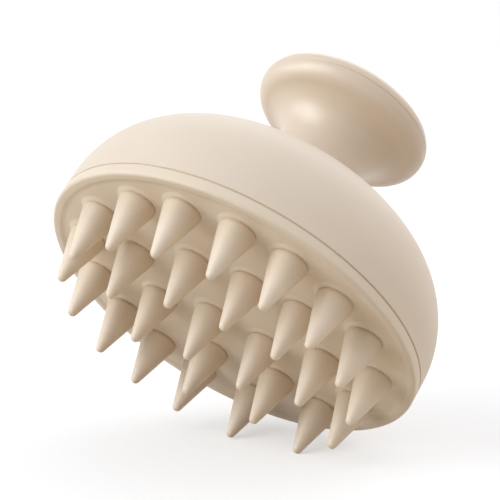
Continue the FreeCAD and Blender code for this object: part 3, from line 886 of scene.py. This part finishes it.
def steel_finish(finishes):
    """Plated steel with fine turning marks round the axis."""
    material, tree, shader, where = blank_finish("plated_screw_steel")
    marks = step_node(tree, "ShaderNodeTexWave",
                      {"Vector": where, "Scale": 900, "Distortion": 6, "Detail": 3},
                      wave_type="RINGS", rings_direction="Z")
    cloud = noise(tree, where, 3 * MM, detail=4)
    feed(tree, shader, {
        "Base Color": drift(tree, cloud, finishes.steel, amount=0.12),
        "Roughness": spread(tree, cloud, low=0.24, high=0.4),
        "Metallic": 1,
        "Normal": relief(tree, marks.outputs["Fac"], strength=0.06, depth=0.01 * MM),
    })
    return material


def repaint(node, material):
    """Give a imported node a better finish."""
    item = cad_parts[node]
    item.data.materials.clear()
    item.data.materials.append(material)


# Operators, one for each piece or group of like pieces

class BrushStep:
    """Step of the build that runs as an operator"""

    def execute(self, context):
        self.make(context.scene.scalp_brush)
        return {"FINISHED"}


class BRUSH_OT_dome(BrushStep, Operator):
    """Turn the hollow matte dome"""
    bl_idname = "scalp_brush.dome"
    bl_label = "Dome"

    def make(self, brush):
        # Top of the painted shade: the roof of the shadow line's groove, less its rounding
        finish = dome_finish(brush.finishes, DOME_LOW.z + brush.dome.seam_gap - brush.dome.edge_soft)
        turned_piece("dome_shell", dome_section(brush), BODY_SIDES, finish, "handle", "dome_plastic")


class BRUSH_OT_handle(BrushStep, Operator):
    """Turn the neck with the knob's bowl, and the cap that closes it"""
    bl_idname = "scalp_brush.handle"
    bl_label = "Handle and cap"

    def make(self, brush):
        looks = brush.finishes
        satin = moulded_finish("satin_ivory_handle", looks.handle, looks.handle_roughness, looks.fine_grain,
                               strength=0.08, gloss=0.8)
        turned_piece("handle_neck", handle_section(brush), KNOB_SIDES, satin, "handle", "handle_plastic")
        turned_piece("knob_cap", cap_section(brush), KNOB_SIDES, satin, "handle", "handle_plastic")


class BRUSH_OT_face_plate(BrushStep, Operator):
    """Turn the face plate, pierce it, and raise the collars round the bristles' roots"""
    bl_idname = "scalp_brush.face_plate"
    bl_label = "Face plate"

    def make(self, brush):
        head, looks = brush.head, brush.finishes
        at = shared_places(brush)
        satin = moulded_finish("satin_ivory_head", looks.head, looks.head_roughness, looks.fine_grain,
                               strength=0.12)
        bristle_spots = points_object("bristle_spots", bristle_places())
        screw_spots = points_object("screw_spots", screw_places(brush))
        plate = grown_piece("face_plate_turned", plate_section(brush), plate_tree(), {
            "Segments": BODY_SIDES, "Bristle Places": bristle_spots, "Screw Places": screw_spots,
            "Hole Radius": head.hole_radius, "Hole Bottom": at.floor - OVERRUN,
            "Boss Radius": head.boss_radius, "Boss Top": RETAINER_LOW.z, "Plate Top": at.plate_top,
            "Pilot Radius": head.pilot_radius, "Pilot Bottom": at.floor + head.pilot_skin,
            "Material": satin,
        })
        settle(plate, "brush_head", "head_plastic", "face_plate")
        section = points_object("collar_outline", collar_section(brush))
        collars = grown_piece("root_collars", bristle_places(), field_tree(), {
            "Section": section, "Segments": COLLAR_SIDES, "Seed": brush.bristles.seed, "Material": satin,
        })
        settle(collars, "brush_head", "head_plastic")
        drop(bristle_spots, screw_spots, section)


class BRUSH_OT_bristles(BrushStep, Operator):
    """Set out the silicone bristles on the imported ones"""
    bl_idname = "scalp_brush.bristles"
    bl_label = "Bristles"

    def make(self, brush):
        section = points_object("bristle_outline", bristle_section(brush))
        floor = shared_places(brush).floor
        tree = bpy.data.node_groups.get("Turned_Field") or field_tree()
        field = grown_piece("silicone_bristles", bristle_places(), tree, {
            "Section": section, "Segments": brush.bristles.sides, "Seed": brush.bristles.seed,
            "Material": silicone_finish(brush.finishes, floor, brush.bristles.painted_root_shade_length),
        })
        settle(field, "brush_head", "silicone", *bristle_nodes())
        drop(section)


class BRUSH_OT_seal(BrushStep, Operator):
    """Turn the rubber ring in the spigot's groove"""
    bl_idname = "scalp_brush.seal"
    bl_label = "Seal ring"

    def make(self, brush):
        rubber = moulded_finish("dark_seal_rubber", brush.finishes.rubber, roughness=0.62, grain=0.35 * MM,
                                strength=0.3)
        turned_piece("seal_ring", seal_section(), BODY_SIDES, rubber, "brush_head", "seal_rubber")


class BRUSH_OT_fixings(BrushStep, Operator):
    """Finish the retainer, the screws and the washer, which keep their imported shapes"""
    bl_idname = "scalp_brush.fixings"
    bl_label = "Retainer and screws"

    def make(self, brush):
        looks = brush.finishes
        plain = moulded_finish("plain_retainer_plastic", looks.inner, roughness=0.5, grain=looks.fine_grain,
                               strength=0.2)
        repaint("bristle_retainer", plain)
        steel = steel_finish(looks)
        for node in ("retainer_screws", "handle_washer", "handle_screw"):
            repaint(node, steel)


class BRUSH_OT_studio(BrushStep, Operator):
    """Set up the camera, the pale floor, the lamps and the room"""
    bl_idname = "scalp_brush.studio"
    bl_label = "Studio"

    def make(self, brush):
        scene = bpy.context.scene
        axes = set_camera(scene, brush.studio)
        set_floor(axes, brush.studio)
        set_lamps(axes, brush.studio)
        set_room(scene, axes, brush.studio)
        scene.view_settings.view_transform = "Standard"


def set_camera(scene, studio):
    """Camera below the seam's level, looking at its middle, then rolled and turned. Gives its axes."""
    back = Vector((0, -math.cos(studio.below), -math.sin(studio.below)))
    right = Vector((1, 0, 0))
    facing = Matrix((right, back.cross(right), back)).transposed()
    facing = facing @ Matrix.Rotation(studio.roll, 3, "Z")
    facing = facing @ Matrix.Rotation(-studio.pan, 3, "Y")
    facing = facing @ Matrix.Rotation(-studio.tilt, 3, "X")
    data = bpy.data.cameras.new("photo_camera")
    data.lens = studio.lens
    data.sensor_width = SENSOR_WIDTH
    data.clip_start = VIEW_START
    camera = linked_object("photo_camera", data)
    place = Vector((0, 0, DOME_LOW.z)) + back * studio.distance
    camera.matrix_world = Matrix.Translation(place) @ facing.to_4x4()
    scene.camera = camera
    return facing


def lowest_along(direction):
    """How far the object reaches down against a direction."""
    return min(direction.dot(vertex.co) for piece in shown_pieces() for vertex in piece.data.vertices)


def set_floor(axes, studio):
    """Pale floor under the lowest bristle tips, level in the picture, that keeps the brush's shadow."""
    up = axes @ Vector((0, math.cos(studio.floor_pitch), math.sin(studio.floor_pitch)))
    right = axes @ Vector((1, 0, 0))
    away = up.cross(right)
    middle = up * lowest_along(up)
    signs = ((-1, -1), (1, -1), (1, 1), (-1, 1))
    mesh = bpy.data.meshes.new("studio_floor")
    mesh.from_pydata([middle + (right * x + away * y) * FLOOR_REACH for x, y in signs], [], [(0, 1, 2, 3)])
    mesh.materials.append(floor_finish(studio))
    floor = linked_object("studio_floor", mesh)
    floor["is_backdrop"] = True


def seen_rays(tree):
    """One for rays that see the background straight, mirrored or through glass, and zero for others."""
    paths = tree.nodes.new("ShaderNodeLightPath").outputs
    mirrored = sum_node(tree, "MAXIMUM", paths["Is Camera Ray"], paths["Is Glossy Ray"])
    return sum_node(tree, "MAXIMUM", mirrored, paths["Is Transmission Ray"])


def floor_finish(studio):
    """White to the camera where nothing shades it, grey in the shadow, and clear from underneath."""
    material = bpy.data.materials.new("pale_floor")
    material.use_nodes = True
    tree = material.node_tree
    tree.nodes.clear()
    back = tree.nodes.new("ShaderNodeNewGeometry").outputs["Backfacing"]
    seen = seen_rays(tree)
    shade = mixed_colour(tree, seen, (*studio.bounce, 1), (*studio.floor_tone, 1))
    matte = step_node(tree, "ShaderNodeBsdfDiffuse", {"Color": shade})
    added = sum_node(tree, "MULTIPLY", seen, studio.floor_glow)
    glow = step_node(tree, "ShaderNodeEmission", {"Strength": added})
    lit = step_node(tree, "ShaderNodeAddShader", {0: matte, 1: glow})
    clear = tree.nodes.new("ShaderNodeBsdfTransparent")
    sided = step_node(tree, "ShaderNodeMixShader", {0: back, 1: lit, 2: clear})
    attach(tree, tree.nodes.new("ShaderNodeOutputMaterial").inputs["Surface"], sided)
    return material


def add_lamp(name, axes, direction, strength, tint):
    """Square soft lamp in a direction of the picture, with its strength on a face turned to it."""
    data = bpy.data.lights.new(name, "AREA")
    data.shape = "SQUARE"
    data.size = LAMP_SIZE
    data.color = tint
    data.energy = strength * (math.pi * LAMP_DISTANCE) ** 2
    middle = Vector((0, 0, (CAD_BOX[0].z + CAD_BOX[1].z) / 2))
    toward = (axes @ Vector(direction)).normalized()
    facing = toward.to_track_quat("Z", "Y").to_matrix().to_4x4()
    lamp = linked_object(name, data)
    lamp.matrix_world = Matrix.Translation(middle + toward * LAMP_DISTANCE) @ facing
    return lamp


def light_brush_alone(lamp):
    """Keep a lamp's light off the floor."""
    lit = bpy.data.collections.new("lit_by_" + lamp.name)
    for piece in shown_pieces():
        lit.objects.link(piece)
    lamp.light_linking.receiver_collection = lit


def set_lamps(axes, studio):
    """Soft lamps at the picture's upper left and far left, and one behind for the brush's edges."""
    add_lamp("key_lamp", axes, KEY_LAMP, studio.key_level, studio.lamp_tint)
    add_lamp("side_lamp", axes, SIDE_LAMP, studio.side_level, studio.lamp_tint)
    edge = add_lamp("edge_lamp", axes, EDGE_LAMP, studio.edge_level, studio.lamp_tint)
    light_brush_alone(edge)


def vector_node(tree, operation, values):
    """Add a vector node."""
    return step_node(tree, "ShaderNodeVectorMath", values, operation=operation)


def side_light(tree, toward, tint):
    """Soft light of the room that is strongest in one direction."""
    direction = tree.nodes.new("ShaderNodeTexCoord").outputs["Generated"]
    facing = vector_node(tree, "DOT_PRODUCT", {0: direction, 1: toward.normalized()})
    nearness = step_node(tree, "ShaderNodeMapRange", {"Value": facing.outputs["Value"]})
    return vector_node(tree, "SCALE", {0: tint, "Scale": nearness})


def set_room(scene, axes, studio):
    """White room to the camera and in reflections, and soft light from the sides and from behind."""
    room = bpy.data.worlds.new("white_room")
    room.use_nodes = True
    tree = room.node_tree
    tree.nodes.clear()
    right = side_light(tree, axes @ Vector(RIGHT_OF_ROOM), studio.right_light)
    left = side_light(tree, axes @ Vector(LEFT_OF_ROOM), studio.left_light)
    back = side_light(tree, axes @ Vector(BACK_OF_ROOM), studio.back_light)
    whole = vector_node(tree, "ADD", {0: vector_node(tree, "ADD", {0: right, 1: left}), 1: back})
    soft = step_node(tree, "ShaderNodeBackground", {"Color": whole, "Strength": studio.room_level})
    white = step_node(tree, "ShaderNodeBackground", {"Color": (1, 1, 1, 1)})
    seen = seen_rays(tree)
    mixed = step_node(tree, "ShaderNodeMixShader", {0: seen, 1: soft, 2: white})
    attach(tree, tree.nodes.new("ShaderNodeOutputWorld").inputs["Surface"], mixed)
    scene.world = room


class BRUSH_PT_panel(Panel):
    """Lists the steps and the sizes of the brush"""
    bl_label = "Scalp massage brush"
    bl_space_type = "VIEW_3D"
    bl_region_type = "UI"
    bl_category = "Brush"

    def draw(self, context):
        for operator in OPERATORS:
            self.layout.operator(operator.bl_idname)
        brush = context.scene.scalp_brush
        for part in BrushSettings.__annotations__:
            group = getattr(brush, part)
            box = self.layout.box()
            for name in group.__annotations__:
                box.prop(group, name, text=name.replace("_", " ").capitalize())


OPERATORS = (
    BRUSH_OT_dome, BRUSH_OT_handle, BRUSH_OT_face_plate, BRUSH_OT_bristles, BRUSH_OT_seal, BRUSH_OT_fixings,
    BRUSH_OT_studio,
)
add_classes, remove_classes = bpy.utils.register_classes_factory((
    DomeSizes, HandleSizes, HeadSizes, BristleSizes, Finishes, Studio, BrushSettings,
    *OPERATORS, BRUSH_PT_panel,
))


def register():
    """Add the classes and the scene's settings."""
    add_classes()
    bpy.types.Scene.scalp_brush = PointerProperty(type=BrushSettings)


def unregister():
    """Remove the scene's settings and the classes."""
    del bpy.types.Scene.scalp_brush
    remove_classes()


def main():
    """Build every piece and the studio."""
    register()
    bpy.ops.scalp_brush.dome()
    bpy.ops.scalp_brush.handle()
    bpy.ops.scalp_brush.face_plate()
    bpy.ops.scalp_brush.bristles()
    bpy.ops.scalp_brush.seal()
    bpy.ops.scalp_brush.fixings()
    bpy.ops.scalp_brush.studio()


if __name__ == "__main__":
    main()
